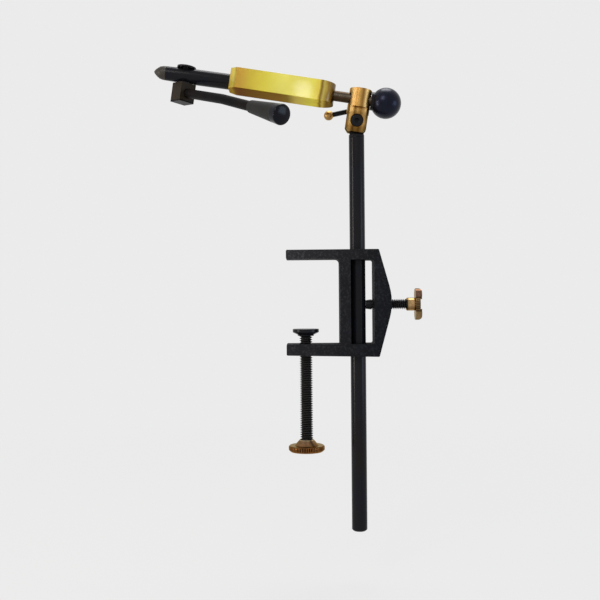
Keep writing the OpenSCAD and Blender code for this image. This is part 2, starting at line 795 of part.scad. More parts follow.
module body_outline() {
    half = body_w / 2;
    c = body_chamfer;
    translate([body_rear - half, 0]) circle(r = half);
    polygon([[body_front, -half + c], [body_front + c, -half], [body_rear - half, -half],
        [body_rear - half, half], [body_front + c, half], [body_front, half - c]]);
}
module jaw_body() {
    color("#c4a53f") difference() {
        in_rotor() difference() {
            translate([0, 0, -body_h / 2]) linear_extrude(body_h) body_outline();
            rod_x(shaft_r + seat_fit, body_rear - shaft_socket - play, body_rear + over);
            translate([shaft_grub_x, 0, 0]) rod_z(grub_r + seat_fit, 0, body_h);
            translate([tube_grub_x, 0, 0]) rod_z(grub_r + seat_fit, 0, body_h);
        }
        in_tube() rod_x(tube_r + seat_fit, -over, tube_socket + play);
    }
}
module shaft_set_screw() {
    color("#3a3c40") in_rotor() translate([shaft_grub_x, 0, 0])
        grub(grub_r, shaft_r + seat_fit, body_h / 2 - grub_sink);
}
module tube_set_screw() {
    color("#3a3c40") in_rotor() translate([tube_grub_x, 0, 0])
        grub(grub_r, tube_top_z, body_h / 2 - grub_sink);
}
module jaw_tube() {
    color("#24262a") in_tube() difference() {
        turned_x([[0, -tube_l], [mouth_r, -tube_l], [tube_r, -tube_l + taper_l],
            [tube_r, tube_socket], [0, tube_socket]]);
        turned_x([[0, -tube_l - over], [seat_r + over * cone_slope, -tube_l - over],
            [tube_bore_r, -tube_l + cone_l], [tube_bore_r, -tube_l + tube_bore_l],
            [0, -tube_l + tube_bore_l]]);
        translate([cam_x, 0, 0]) rod_z(cam_top_r + run_fit, 0, tube_r + over);
        translate([cam_x, 0, 0]) rod_z(cam_core_r + run_fit, -tube_r - over, 0);
        translate([cam_x, 0, 0]) rod_z(cam_head_r + play, spot_h, tube_r + over);
        translate([cam_x, 0, 0]) rod_z(cam_head_r + play, -tube_r - over, -spot_h);
    }
}
module draw_bar() {
    slot_x = cam_x + bar_shift;
    slot_half_w = cam_core_r + run_fit;
    color("#6f6f6c") in_tube() difference() {
        rod_x(bar_r, fork_front, bar_rear);
        translate([slot_x, 0, 0]) rod_z(slot_half_w, -bar_r, bar_r);
        translate([slot_x, -cam_throw, 0]) rod_z(slot_half_w, -bar_r, bar_r);
        translate([slot_x - slot_half_w, -cam_throw, -bar_r])
            cube([slot_half_w * 2, cam_throw, bar_r * 2]);
        translate([fork_front - over, -bar_r, -fork_half])
            cube([web_x - fork_front + over, bar_r * 2, fork_half * 2]);
        translate([slot_x, 0, 0]) rod_z(cam_top_r, -bar_r - over, cam_foot + play);
        translate([pin_x, 0, 0]) rod_z(pin_r + seat_fit, -bar_r, bar_r);
    }
}
module jaw_pin() {
    color("#8f9294") in_tube() translate([pin_x, 0, 0]) rod_z(pin_r, -pin_half, pin_half);
}
module jaw_turned() {
    n = len(nose_length_shares) - 1;
    turned_x(concat([[0, shank_x], [shank_r, shank_x], [shank_r, -tube_l + cone_l],
            [tube_bore_r - jaw_slack, -tube_l + cone_l], [seat_r - jaw_slack, -tube_l],
            [seat_r - jaw_slack, nose_x]],
        [for (i = [0:n]) [point_r + (mouth_r - point_r) * nose_radius_shares[i],
            nose_x - (nose_l - seam) * nose_length_shares[i]]],
        [[0, -tube_l - nose_l]]));
}
// One jaw: side is -1 for the near one, whose knuckle is the upper one, and 1 for the far one
module jaw_half(side) {
    l = tube_l + nose_l;
    difference() {
        union() {
            intersection() {
                jaw_turned();
                translate([-l - over, side > 0 ? 0 : -tube_r, -tube_r])
                    cube([l, tube_r, tube_r * 2]);
            }
            translate([0, 0, side > 0 ? -lug_half : play / 2]) {
                translate([pin_x, 0, 0]) cylinder(r = lug_r, h = lug_half - play / 2);
                translate([shank_x - over, side > 0 ? 0 : -lug_r, 0])
                    cube([pin_x - shank_x + over, lug_r, lug_half - play / 2]);
            }
        }
        translate([pin_x, 0, 0]) rod_z(pin_r + run_fit, -lug_half - over, lug_half + over);
    }
}
module jaw_near() {
    color("#4a4743") in_tube() jaw_half(-1);
}
module jaw_far() {
    color("#4a4743") in_tube() jaw_half(1);
}

module cam_spindle() {
    color("#24262a") in_cam() {
        rod_z(cam_head_r, spot_h + play / 2, spot_h + play / 2 + cam_head_h);
        rod_z(cam_top_r, bar_r + play, spot_h + over);
        rotate([0, 0, cam_rest_angle]) translate([cam_throw, 0, 0])
            rod_z(cam_core_r, cam_foot, bar_r + play + over);
        rod_z(cam_core_r, core_end, cam_foot);
        rod_z(cam_core_r - cam_throw * 2, cam_foot - over, cam_foot + over);
    }
}
module cam_spacer() {
    color("#8f9294") in_cam() difference() {
        rod_z(spacer_r, -spot_h - spacer_h - play / 2, -spot_h - play / 2);
        rod_z(cam_core_r + seat_fit, -tube_r - spacer_h - over, 0);
    }
}
module cam_block() {
    color("#2a2826") difference() {
        in_cam() rotate([0, 0, -lever_swing]) difference() {
            translate([-block_w / 2, -block_w / 2, block_top - block_h])
                cube([block_w, block_w, block_h]);
            rod_z(cam_core_r + seat_fit, core_end - play, block_top + over);
            translate([0, 0, lever_h]) rod_x(grub_r + seat_fit, -block_w, 0);
        }
        in_lever() rod_x(lever_r + seat_fit, lever_start - play, block_w);
    }
}
module cam_set_screw() {
    color("#3a3c40") in_cam() rotate([0, 0, -lever_swing]) translate([0, 0, lever_h])
        rotate([0, -90, 0]) grub(grub_r, cam_core_r + play, block_w / 2 - grub_sink);
}
module lever_rod() {
    color("#26272a") {
        in_lever() difference() {
            rod_x(lever_r, lever_start, lever_bend_x + lever_r);
            translate([lever_bend_x, 0, 0]) rotate([0, lever_bend / 2, 0])
                translate([0, -lever_r * 2, -lever_r * 2]) cube(lever_r * 4);
        }
        in_lever_end() difference() {
            rod_x(lever_r, -lever_r, grip_x0 + grip_socket);
            rotate([0, -lever_bend / 2, 0])
                translate([-lever_r * 4, -lever_r * 2, -lever_r * 2]) cube(lever_r * 4);
        }
    }
}
module lever_knob() {
    color("#32322f") in_lever_end() difference() {
        turned_x(concat([[0, grip_x0], [grip_neck_r, grip_x0]], [for (p = grip_end_shares)
            [grip_r * p[0], grip_x1 - grip_dome * (1 - p[1])]]));
        rod_x(lever_r + seat_fit, grip_x0 - over, grip_x0 + grip_socket + play);
    }
}

clamp_frame();
clamp_pad();
pad_ring();
clamp_screw();
clamp_knob();
knob_grub_screw();
lock_tip();
lock_stud();
lock_knob();
post();
post_tang();
head_block();
front_bushing();
rear_bushing();
pivot_bolt();
tilt_washers();
tension_plug();
tension_screw();
tension_lever();
tension_ball();
rotary_shaft();
thrust_collar();
collar_set_screw();
ball_insert();
ball_knob();
jaw_body();
shaft_set_screw();
tube_set_screw();
jaw_tube();
draw_bar();
jaw_pin();
jaw_near();
jaw_far();
cam_spindle();
cam_spacer();
cam_block();
cam_set_screw();
lever_rod();
lever_knob();
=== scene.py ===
"""Looks of a fly tying vise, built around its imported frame.

Every piece is made in the frame's own metres. Places come from the frame's joints and
from the points of its nodes, so the looks follow the frame when it is packed again.
"""

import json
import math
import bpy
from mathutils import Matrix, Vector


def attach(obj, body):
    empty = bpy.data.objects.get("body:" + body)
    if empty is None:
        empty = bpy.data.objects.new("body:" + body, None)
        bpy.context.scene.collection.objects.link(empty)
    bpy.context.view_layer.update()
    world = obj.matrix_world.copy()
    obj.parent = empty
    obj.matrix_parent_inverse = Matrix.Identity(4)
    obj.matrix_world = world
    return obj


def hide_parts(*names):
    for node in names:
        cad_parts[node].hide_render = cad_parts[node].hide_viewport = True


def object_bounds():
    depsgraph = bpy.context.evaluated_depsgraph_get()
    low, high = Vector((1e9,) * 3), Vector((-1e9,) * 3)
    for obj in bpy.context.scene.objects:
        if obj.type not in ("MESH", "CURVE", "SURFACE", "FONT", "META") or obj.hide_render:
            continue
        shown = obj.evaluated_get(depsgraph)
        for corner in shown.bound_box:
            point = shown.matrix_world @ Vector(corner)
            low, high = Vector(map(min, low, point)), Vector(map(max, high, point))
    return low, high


bl_info = {
    "name": "Fly Tying Vise",
    "version": (1, 0, 0),
    "blender": (4, 5, 0),
    "location": "View3D > Sidebar > Vise",
    "description": "Dresses the packed frame of a fly tying vise and sets its stage",
    "category": "Object",
}

import bmesh
import bpy
from mathutils import Matrix, Vector

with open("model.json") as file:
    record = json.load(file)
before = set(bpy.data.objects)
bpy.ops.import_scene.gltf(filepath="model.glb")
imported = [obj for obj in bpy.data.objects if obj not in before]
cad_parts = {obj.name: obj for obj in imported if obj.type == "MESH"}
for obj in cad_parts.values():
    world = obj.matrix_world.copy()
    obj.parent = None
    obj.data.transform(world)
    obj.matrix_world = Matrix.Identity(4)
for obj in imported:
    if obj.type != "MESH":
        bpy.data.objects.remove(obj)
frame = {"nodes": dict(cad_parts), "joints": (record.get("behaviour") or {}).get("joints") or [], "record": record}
CAD_BOX = [list(corner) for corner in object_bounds()]
NODES = frame["nodes"]
JOINTS = {joint["name"]: joint for joint in frame["joints"]}
BODY_OF = {
    node: body
    for body, members in frame["record"]["behaviour"]["bodies"].items()
    for node in members
}
SLOT_OF = {part["node"]: part["material_slot"] for part in frame["record"]["subparts"]}

# A millimetre in the scene's metres
MM = 0.001
# Width of the photo in pixels
PHOTO_WIDTH = 600


# Places

# Axes of a place
X, Z = 0, 2
# Points of the lever's grip this near to its far end, and to its near end, show how it lies
GRIP_FAR_REACH = 14 * MM
GRIP_NEAR_REACH = 8.5 * MM


def axes_at(origin, way, side=Vector((0, 1, 0))):
    """A frame at a point: x runs along a way, y keeps to the side, z stands on both."""
    x = Vector(way).normalized()
    z = x.cross(Vector(side)).normalized()
    turn = Matrix((x, z.cross(x), z)).transposed().to_4x4()
    return Matrix.Translation(Vector(origin)) @ turn


def points_of(node):
    """The points of a node's mesh."""
    return [vertex.co for vertex in NODES[node].data.vertices]


def middle(points):
    """The middle of some points."""
    return sum(points, Vector()) / len(points)


def grip_way(start):
    """The way that the lever's grip points, away from where the lever starts."""
    points = points_of("lever_knob")
    far = max(points, key=lambda point: (point - start).length)
    near = min(points, key=lambda point: (point - start).length)
    far_end = [point for point in points if (point - far).length < GRIP_FAR_REACH]
    near_end = [point for point in points if (point - near).length < GRIP_NEAR_REACH]
    return (middle(far_end) - middle(near_end)).normalized()


def reach(node, place):
    """A node's lowest and highest coordinates in a place's own axes, from its points."""
    back = place.inverted()
    points = [back @ point for point in points_of(node)]
    low = Vector(min(point[i] for point in points) for i in range(3))
    high = Vector(max(point[i] for point in points) for i in range(3))
    return low, high


def run_of(node, place, axis):
    """One axis of a place, and where a node starts and ends along it from the origin."""
    low, high = reach(node, place)
    way = place.to_3x3().col[axis]
    base = way.dot(place.translation)
    return way, base + low[axis], base + high[axis]


SCREW = axes_at((0, 0, 0), (0, 0, 1))
LOCK = axes_at((0, 0, JOINTS["lock_turn"]["pos_m"][2]), (1, 0, 0))
ROTOR = axes_at(JOINTS["rotary_turn"]["pos_m"], JOINTS["rotary_turn"]["axis"])
HEAD = axes_at(JOINTS["head_tilt"]["pos_m"], JOINTS["rotary_turn"]["axis"])
TUBE = axes_at(JOINTS["lever_swing"]["pos_m"], -Vector(JOINTS["draw_travel"]["axis"]))
GRIP = axes_at(middle(points_of("lever_knob")), grip_way(TUBE.translation))
TENSION_START = Vector(JOINTS["tension_turn"]["pos_m"])
TENSION = axes_at(TENSION_START, middle(points_of("tension_ball")) - TENSION_START)


# Sizes and colours that a user would change

def length(name, description, default):
    """A length in metres, shown in the scene's own unit."""
    return bpy.props.FloatProperty(
        name=name, description=description, default=default, unit="LENGTH", min=0.0,
        precision=5,
    )


def colour(name, description, default):
    """An sRGB colour, written as hex."""
    return bpy.props.StringProperty(name=name, description=description, default=default)


class ViseSizes(bpy.types.PropertyGroup):
    """Edges, threads and steps of the dressed pieces"""

    frame_edge: length("Frame edge", "Radius on the clamp frame's edges", 0.45 * MM)
    brass_edge: length("Body edge", "Broken edge round the brass body", 0.3 * MM)
    head_edge: length("Head edge", "Broken edge on the turned head", 0.22 * MM)
    steel_edge: length("Steel edge", "Broken edge on steel pieces", 0.2 * MM)
    screw_edge: length("Screw edge", "Broken edge on the set screws", 0.1 * MM)
    screw_pitch: length("Clamp screw pitch", "Advance of its thread a turn", 1.411 * MM)
    screw_depth: length("Clamp screw thread", "Depth of its thread", 1.0 * MM)
    lock_pitch: length("Lock screw pitch", "Advance of its thread a turn", 1.27 * MM)
    lock_depth: length("Lock screw thread", "Depth of its thread", 0.9 * MM)
    wing_edge: length("Wing edge", "Rounding of the lock knob's wings", 0.16 * MM)
    block_edge: length("Cam block edge", "Broken edge of the cam block", 0.35 * MM)
    grip_edge: length("Grip edge", "Rounding of the lever's grip", 0.6 * MM)
    running_gap: length("Running gap", "Play between turning pieces", 0.08 * MM)
    thread_steps: bpy.props.IntProperty(
        name="Thread steps", description="Steps in one turn of a thread", default=24,
        min=8, max=64,
    )
    round_steps: bpy.props.IntProperty(
        name="Round steps", description="Steps round a turned piece", default=96,
        min=24, max=160,
    )


class ViseColours(bpy.types.PropertyGroup):
    """Tones of the finishes"""

    body_brass: colour("Body brass", "Polished face of the brass body", "#D2C658")
    head_brass: colour("Head brass", "Turned head and bushings", "#E2BE80")
    knob_brass: colour("Knob brass", "Knurled knobs, dulled by handling", "#B4A082")
    knob_tarnish: colour("Knob tarnish", "Brown film in the knobs' hollows", "#6A4A34")
    frame_black: colour("Frame black", "Textured black coat of the frame", "#2C2C2E")
    frame_speck: colour("Frame specks", "Grey dust caught in the coat", "#505052")
    oxide_black: colour("Black oxide", "Blackened steel of post and screws", "#14151A")
    oxide_worn: colour("Worn oxide", "Blackened steel rubbed brown", "#1A1513")
    oxide_dull: colour("Dull oxide", "Blackened steel of the lever's rod", "#0C0C0E")
    block_brown: colour("Block brown", "Blackened cam block, rubbed brown", "#2C251D")
    # The thread's tone: lighter on the crests than in the roots, partly rub wear and partly a painted highlight
    thread_crest: colour("Thread crest", "Blackened thread rubbed by its nut", "#302E2D")
    jaw_steel: colour("Jaw steel", "Tempered tool steel of the jaws", "#322D25")
    shaft_steel: colour("Shaft steel", "Ground steel of the rotary shaft", "#6C6254")
    ball_black: colour("Ball black", "Moulded phenolic ball knob", "#07080F")
    grip_black: colour("Grip black", "Moulded grip of the lever", "#1E1D1A")
    nylon: colour("Nylon", "Washers and plug", "#E0DCD0")


class ViseStage(bpy.types.PropertyGroup):
    """Camera and backdrop"""

    camera_distance: length("Camera distance", "From the lens to the post's plane", 0.5245)
    camera_x: bpy.props.FloatProperty(
        name="Camera across", description="Camera's place along X", default=-0.00344,
        unit="LENGTH", precision=5,
    )
    camera_z: bpy.props.FloatProperty(
        name="Camera height", description="Camera's place along Z", default=-0.02491,
        unit="LENGTH", precision=5,
    )
    camera_roll: bpy.props.FloatProperty(
        name="Camera roll", description="Turn of the camera about its own axis",
        default=math.radians(-0.476), unit="ROTATION",
    )
    focal_pixels: bpy.props.FloatProperty(
        name="Focal length", description="Focal length in the photo's own pixels",
        default=850.0,
    )
    backdrop: colour("Backdrop", "Plain pale ground behind the vise", "#EBEBEB")


def linear(hex_colour):
    """An sRGB hex colour as the linear RGBA that the shaders read."""
    channels = [int(hex_colour[i:i + 2], 16) / 255 for i in (1, 3, 5)]
    return [c / 12.92 if c <= 0.04045 else ((c + 0.055) / 1.055) ** 2.4
            for c in channels] + [1.0]


def shade(tone, factor):
    """A hex colour made lighter or darker."""
    parts = [min(255, round(int(tone[i:i + 2], 16) * factor)) for i in (1, 3, 5)]
    return "#" + "".join(f"{part:02X}" for part in parts)


# Working of materials

# Where a film has this tone, what lies under it shows with its own colour
BARE = "#FFFFFF"
# Shares of a painted band's length by which its edges wander, and the wander's size
BAND_WANDER = 0.005
BAND_WANDER_MM = 6.0
# Shares of open sky at which a hollow is darkened in full, and at which it is left clean
HOLLOW_SHARE, OPEN_SHARE = 0.6, 0.97
HOLLOW_SAMPLES = 12
# Share of the way over which a mask fades out
MASK_FADE = 0.02
# Detail of a noise that makes patches of tone, and of one that makes grain
PATCH_DETAIL, GRAIN_DETAIL = 4.0, 2.0
# Patches in a black oxide film: their size in millimetres, and their stretch
OXIDE_PATCH = (14.0, (1, 1, 2.5))
# A Mix node takes its factor and two colours at i0, i6 and i7, and gives its colour here
MIX_RESULT = 2

# Tint of a metal's gloss where it is seen edge on
BRASS_EDGE_TINT = (0.86, 0.74, 0.5, 1.0)
STEEL_EDGE_TINT = (0.7, 0.68, 0.66, 1.0)


def put(material, node, **values):
    """Sets a node's properties and sockets by name, and links a socket to an output.

    A name of i0, i1 and so on stands for the socket of that number.
    """
    for name, value in values.items():
        if name in node.bl_rna.properties:
            setattr(node, name, value)
            continue
        numbered = name[0] == "i" and name[1:].isdigit()
        socket = node.inputs[int(name[1:]) if numbered else name.replace("_", " ")]
        if isinstance(value, bpy.types.NodeSocket):
            material.node_tree.links.new(value, socket)
        else:
            socket.default_value = value


def add(material, kind, **values):
    """Adds a node with its settings and links."""
    node = material.node_tree.nodes.new(kind)
    put(material, node, **values)
    return node


def cleared(owner):
    """Gives a material or a world an empty node tree."""
    owner.use_nodes = True
    owner.node_tree.nodes.clear()
    return owner


def new_material(name):
    """A material with its shader, its output and the object's coordinates."""
    material = cleared(bpy.data.materials.new(name))
    shader = add(material, "ShaderNodeBsdfPrincipled")
    add(material, "ShaderNodeOutputMaterial", Surface=shader.outputs["BSDF"])
    add(material, "ShaderNodeTexCoord")
    return material


def own_node(material, kind):
    """The material's own node of a kind that it has once."""
    return next(node for node in material.node_tree.nodes if node.type == kind)


def surface(material, **values):
    """Sets or links sockets of the material's shader."""
    put(material, own_node(material, "BSDF_PRINCIPLED"), **values)


def source_of(material, socket):
    """The output that is linked to a socket of the material's shader."""
    shader = own_node(material, "BSDF_PRINCIPLED")
    return shader.inputs[socket].links[0].from_socket


def place_on(material):
    """Where a point lies on its object, in metres."""
    return own_node(material, "TEX_COORD").outputs["Object"]


def noise(material, size_mm, detail, stretch=(1, 1, 1), turn=Matrix.Identity(3)):
    """Noise whose grain has a real size in millimetres, stretched along some axes."""
    mapping = add(
        material, "ShaderNodeMapping", vector_type="TEXTURE", Vector=place_on(material),
        Rotation=turn.to_euler(), Scale=[share * size_mm * MM for share in stretch],
    )
    return add(
        material, "ShaderNodeTexNoise", Vector=mapping.outputs["Vector"], Scale=1.0,
        Detail=detail,
    ).outputs["Fac"]


def ramp(material, value, stops):
    """A colour ramp of (position, hex colour) stops."""
    node = add(material, "ShaderNodeValToRGB", Fac=value)
    line = node.color_ramp
    while len(line.elements) < len(stops):
        line.elements.new(1.0)
    for element, (position, tone) in zip(line.elements, stops):
        element.position = position
        element.color = linear(tone)
    return node.outputs["Color"]


def patchy(tone, low, high, start=0.3, end=0.7):
    """Stops that run from one shade of a tone to another."""
    return [(start, shade(tone, low)), (end, shade(tone, high))]


def spread(material, value, low, high, start=0.3, end=0.7):
    """Maps a noise onto a range of values."""
    return add(
        material, "ShaderNodeMapRange", Value=value, From_Min=start, From_Max=end,
        To_Min=low, To_Max=high,
    ).outputs["Result"]


def masked(material, mask, outside, inside):
    """One value outside a mask and another inside it."""
    return spread(material, mask, outside, inside, 0.0, 1.0)


def relief(material, height, depth_mm):
    """A bump of a real depth in millimetres."""
    bump = add(
        material, "ShaderNodeBump", Height=height, Distance=depth_mm * MM, Strength=1.0,
    )
    surface(material, Normal=bump.outputs["Normal"])


def along(material, way, start, end):
    """How far a point lies between two places along a way, from 0 to 1."""
    run = add(
        material, "ShaderNodeVectorMath", operation="DOT_PRODUCT", i0=place_on(material),
        i1=list(way),
    ).outputs["Value"]
    return spread(material, run, 0.0, 1.0, start, end)


def below(material, way, start, end, share):
    """A mask over the part that lies below a share of the way."""
    height = along(material, way, start, end)
    return spread(material, height, 1.0, 0.0, share, share + MASK_FADE)


def overlaid(material, film, share=1.0):
    """Multiplies a material's own colour by a film's, by a share."""
    mix = add(
        material, "ShaderNodeMix", data_type="RGBA", blend_type="MULTIPLY", i0=share,
        i6=source_of(material, "Base Color"), i7=film,
    )
    surface(material, Base_Color=mix.outputs[MIX_RESULT])
    return material


def painted_bands(material, way, start, end, stops, share=1.0):
    """Paints bands of lighter and darker shade along a way over a material's own colour: painted shade, highlights
    and reflections, on the knobs partly over tarnish.
    """
    run = along(material, way, start, end)
    wander = noise(material, BAND_WANDER_MM, detail=2.0)
    moved = add(
        material, "ShaderNodeMath", operation="ADD", i0=run,
        i1=spread(material, wander, -BAND_WANDER, BAND_WANDER),
    )
    return overlaid(material, ramp(material, moved.outputs[0], stops), share)


def in_hollows(material, film, size_mm):
    """Darkens a material's colour where it lies in grooves or corners: tarnish in the knobs' hollows, and painted
    shade in threads' roots and the frame's corners.
    """
    open_share = add(
        material, "ShaderNodeAmbientOcclusion", samples=HOLLOW_SAMPLES, only_local=True,
        Distance=size_mm * MM,
    ).outputs["AO"]
    stops = [(HOLLOW_SHARE, film), (OPEN_SHARE, BARE)]
    return overlaid(material, ramp(material, open_share, stops))


def worked(name, stops, patch, roughness, grain, depth_mm):
    """A worked surface: patches of tone, and a grain that shows in gloss and relief.

    The patch and the grain each have a size in millimetres, then a stretch and a turn.
    """
    material = new_material(name)
    patches = noise(material, patch[0], PATCH_DETAIL, *patch[1:])
    grains = noise(material, grain[0], GRAIN_DETAIL, *grain[1:])
    surface(
        material, Base_Color=ramp(material, patches, stops),
        Roughness=spread(material, grains, *roughness),
    )
    relief(material, grains, depth_mm)
    return material


def bare_metal(name, stops, patch, roughness, grain, depth_mm, edge_tint=BRASS_EDGE_TINT):
    """Bare metal with its working marks and a worn gloss."""
    material = worked(name, stops, patch, roughness, grain, depth_mm)
    surface(material, Metallic=1.0, Specular_Tint=edge_tint)
    return material


def blackened(name, stops, roughness, gloss, grain=(0.6,), depth_mm=0.001):
    """Steel under a black oxide film, which is dark and has a low, waxy gloss."""
    material = worked(name, stops, OXIDE_PATCH, roughness, grain, depth_mm)
    surface(material, Specular_IOR_Level=gloss)
    return material


# Finishes of the vise

# Share of the body's height in which its underside and lower edges lie
UNDERSIDE_SHARE = 0.03
# Length of the grip's smooth domed end, and of the step where its texture starts
GRIP_DOME = 5.5 * MM
GRIP_DOME_STEP = 0.4 * MM


def buffed_brass(tones):
    """Milled brass bar, buffed along its length and lacquered: long soft streaks.

    The bands along it are painted: painted shade at the front corners and painted reflections round the rear end.
    The underside has neither lacquer nor polish, and is painted dark brown, a painted reflection of the dark parts
    below it.
    """
    brass = bare_metal(
        "brass_buffed_lacquered", patchy(tones.body_brass, 0.96, 1.04), patch=(14.0,),
        roughness=(0.36, 0.4), grain=(0.8, (40, 1, 1), ROTOR.to_3x3()), depth_mm=0.0005,
    )
    # Below this share lies the bare underside, unlacquered and rough; its darker brown is a painted reflection of
    # the dark parts below it
    worn = below(brass, *run_of("jaw_body", ROTOR, Z), UNDERSIDE_SHARE)
    rough = add(
        brass, "ShaderNodeMath", operation="MAXIMUM", i0=source_of(brass, "Roughness"),
        i1=masked(brass, worn, outside=0.0, inside=0.85),
    )
    surface(
        brass, Roughness=rough.outputs[0],
        Metallic=masked(brass, worn, outside=1.0, inside=0.0),
        Coat_Weight=masked(brass, worn, outside=0.7, inside=0.0), Coat_Roughness=0.06,
        Specular_IOR_Level=0.1,
    )
    # Painted dark reflection on the underside, browner towards the front
    painted_bands(
        brass, *run_of("jaw_body", ROTOR, X),
        [(0.0, "#C8B488"), (0.1, "#9E7C4A"), (0.5, "#987648"), (0.56, "#A08868"),
         (0.64, "#E4D4F0"), (0.8, BARE), (1.0, BARE)],
        worn,
    )
    # Painted bands along the body: painted shade at the front corners, a lighter middle, and painted reflection
    # bands round the rear end
    return painted_bands(
        brass, *run_of("jaw_body", ROTOR, X),
        [(0.0, "#F4DCC8"), (0.04, "#FFFAE8"), (0.066, "#C9A67A"), (0.1, "#CCAA88"),
         (0.2, "#D7C990"), (0.35, "#EBE9B6"), (0.5, "#F8FBFF"), (0.8, "#FFFFD0"),
         (0.845, "#FFF0B8"), (0.87, "#937630"), (0.892, "#F0E2E8"), (0.912, "#C0A890"),
         (0.93, "#886934"), (0.95, "#8E744E"), (0.97, "#846854"), (1.0, "#564A48")],
    )


def turned_brass(tones):
    """Turned brass, polished in the lathe: fine rings, warm, with painted highlight and reflection bands across it
    and painted shade on its flanks and towards its bottom.
    """
    brass = bare_metal(
        "brass_turned_polished", patchy(tones.head_brass, 0.94, 1.05), patch=(5.0,),
        roughness=(0.34, 0.38), grain=(1.4, (12, 12, 1), ROTOR.to_3x3()), depth_mm=0.0006,
    )
    # Painted shade: the head is darker towards its bottom
    painted_bands(
        brass, *run_of("head_block", HEAD, Z),
        [(0.0, "#989488"), (0.1, "#A49C8C"), (0.2, "#CCC8C0"), (0.42, "#CCC8C0"),
         (0.5, BARE), (1.0, BARE)],
    )
    # Painted highlight and reflection bands across the head, with painted shade on its flanks
    return painted_bands(
        brass, *run_of("head_block", HEAD, X),
        [(0.0, "#E8DCD0"), (0.02, "#E8DCD0"), (0.04, "#A08068"), (0.12, "#FFFCF0"),
         (0.24, "#FFF0DC"), (0.34, "#8C785A"), (0.48, "#CCBC9C"), (0.62, "#988464"),
         (0.8, "#E8E0D4"), (1.0, "#605044")],
    )


def knurled_brass(tones):
    """Knurled brass dulled by fingers, with brown tarnish in its hollows; bands along the knobs' axes are painted,
    partly tarnish, partly painted highlights, shade and reflections.
    """
    brass = bare_metal(
        "brass_knurled_tarnished", patchy(tones.knob_brass, 0.84, 1.1), patch=(2.2,),
        roughness=(0.2, 0.28), grain=(0.7,), depth_mm=0.002,
    )
    in_hollows(brass, tones.knob_tarnish, size_mm=0.9)
    # Painted tones along the clamp knob's axis: partly tarnish, partly painted shade and a mauve painted
    # reflection on its cone
    painted_bands(
        brass, *run_of("clamp_knob", SCREW, X),
        [(0.0, "#BC9068"), (0.45, "#BC9068"), (0.5, "#8C7054"), (0.56, "#B09480"),
         (0.94, "#B09C90"), (0.97, BARE), (1.0, BARE)],
    )
    # Painted bands along the lock knob: painted shade near one end and on its wings, and a painted highlight
    # across its hub
    painted_bands(
        brass, *run_of("lock_knob", LOCK, X),
        [(0.0, BARE), (0.03, BARE), (0.05, "#6C6450"), (0.13, "#D0C4A4"),
         (0.26, "#FFECD0"), (0.46, "#FFE0B8"), (0.56, "#B8A890"), (1.0, "#ACA08C")],
    )
    # Painted shade and a mauve painted reflection over the tops of the lock knob's wings, and a darker band lower
    # down
    return painted_bands(
        brass, *run_of("lock_knob", LOCK, Z),
        [(0.0, BARE), (0.3, BARE), (0.36, "#A89C90"), (0.46, BARE), (0.68, BARE),
         (0.76, "#DBCCEC"), (1.0, "#DBCCEC")],
    )


def black_rod(tones):
    """Drill rod and screws in black oxide: satin, rubbed brown in long patches."""
    return blackened(
        "steel_black_oxide", [(0.4, tones.oxide_black), (0.75, tones.oxide_worn)],
        roughness=(0.17, 0.25), gloss=0.1, grain=(0.6, (1, 1, 14)),
    )


def cut_thread(tones):
    """Black oxide on cut threads: an even grey on the crests, partly rub wear and partly a painted highlight, and
    painted shade in the roots.
    """
    threads = blackened(
        "steel_black_oxide_thread", patchy(tones.thread_crest, 1, 1),
        roughness=(0.3, 0.4), gloss=0.1,
    )
    # Painted shade in the thread's roots
    return in_hollows(threads, tones.oxide_black, size_mm=0.9)


def dull_rod(tones):
    """Black oxide left unpolished on the lever's rod, so that it is dull."""
    return blackened(
        "steel_black_oxide_dull", [(0.4, tones.oxide_dull), (0.75, tones.oxide_worn)],
        roughness=(0.34, 0.44), gloss=0.03,
    )


def handled_block(tones):
    """Black oxide on the cam block, which fingers have rubbed brown and dull.

    Its underside is painted darker, a painted shade.
    """
    block = blackened(
        "steel_black_oxide_handled", patchy(tones.block_brown, 0.75, 1.15, start=0.35),
        roughness=(0.3, 0.4), gloss=0.05,
    )
    # Painted shade on the block's underside
    return painted_bands(
        block, *run_of("cam_block", TUBE, Z),
        [(0.0, "#686C70"), (0.05, "#686C70"), (0.09, BARE), (1.0, BARE)],
    )


def tempered_steel(tones):
    """Tool steel, hardened and tempered: olive brown scale, finely ground."""
    return blackened(
        "tool_steel_tempered", patchy(tones.jaw_steel, 0.8, 1.15), roughness=(0.4, 0.5),
        gloss=0.3, grain=(0.25, (1, 1, 6)), depth_mm=0.004,
    )


def ground_steel(tones):
    """Ground steel rod: bright, with fine rings round it, and a painted highlight along its middle with painted
    shade above and below.
    """
    steel = bare_metal(
        "steel_ground_bright", patchy(tones.shaft_steel, 0.82, 1.02), patch=(4.0,),
        roughness=(0.2, 0.3), grain=(0.8, (1, 8, 8), ROTOR.to_3x3()), depth_mm=0.0006,
        edge_tint=STEEL_EDGE_TINT,
    )
    # A painted highlight along the rod's middle, with painted shade above and below it
    return painted_bands(
        steel, *run_of("rotary_shaft", ROTOR, Z),
        [(0.0, "#A89480"), (0.3, "#A89480"), (0.42, "#D8CCC0"), (0.52, BARE),
         (0.6, BARE), (0.72, "#C8BCB0"), (1.0, "#A09084")],
    )


